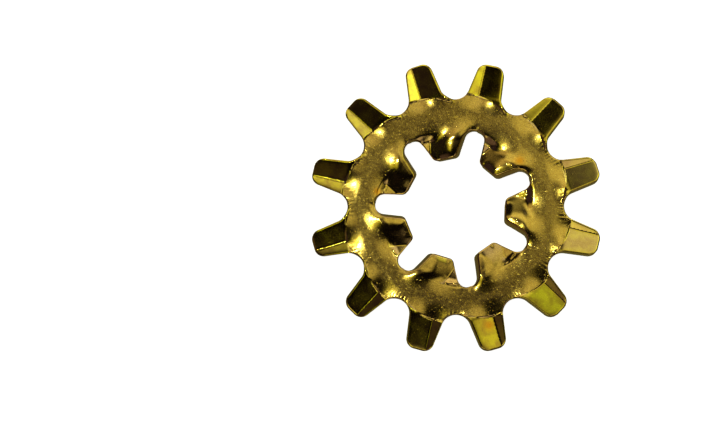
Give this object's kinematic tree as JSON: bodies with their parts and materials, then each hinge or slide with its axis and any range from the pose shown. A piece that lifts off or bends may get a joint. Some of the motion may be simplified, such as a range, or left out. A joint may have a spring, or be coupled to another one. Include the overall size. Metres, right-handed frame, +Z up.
{
  "type": "toothed lock washer",
  "caption": "Stamped internal-external toothed lock washer: a flat ring with twisted teeth round the outside and round the bolt hole.",
  "frame": {"origin": "on the axis of the bolt hole, level with the lowest tooth edges that the washer stands on", "axes": "+Z up along the axis of the bolt hole; +X and +Y across the ring, with one outer tooth 15.0 degrees anticlockwise of +X"},
  "size_m": [0.0186, 0.0186, 0.0016],
  "materials": {
    "lock_washer": "satin, yellow chromate over zinc"
  },
  "bodies": {
    "root": {"lock_washer": "lock_washer"}
  },
  "joints": []
}
